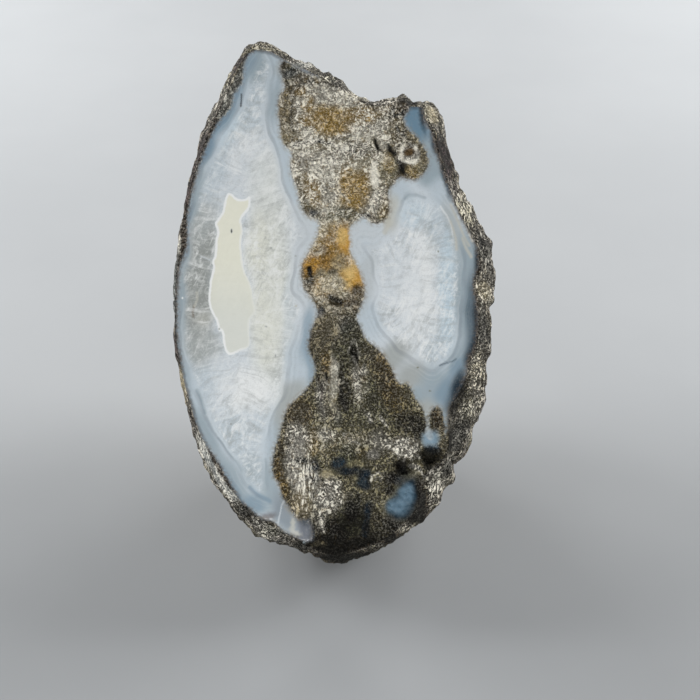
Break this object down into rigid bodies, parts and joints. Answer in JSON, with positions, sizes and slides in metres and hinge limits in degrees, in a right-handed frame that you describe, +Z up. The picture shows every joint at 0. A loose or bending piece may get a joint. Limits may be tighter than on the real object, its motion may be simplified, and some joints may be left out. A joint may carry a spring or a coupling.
{
  "type": "banded agate",
  "caption": "Thick slice of an almond-shaped agate nodule with a polished sawn face and a rough natural back, resting on a small flat spot.",
  "frame": {"origin": "middle of the stone's outline on the surface it rests on", "axes": "+Z up; the polished face looks towards -Y and leans back; +X to the right of the face"},
  "size_m": [0.0834, 0.1046, 0.1221],
  "materials": {
    "agate": "polished on the sawn face, rough natural crust elsewhere"
  },
  "bodies": {
    "root": {"banded_agate": "agate"}
  },
  "joints": []
}
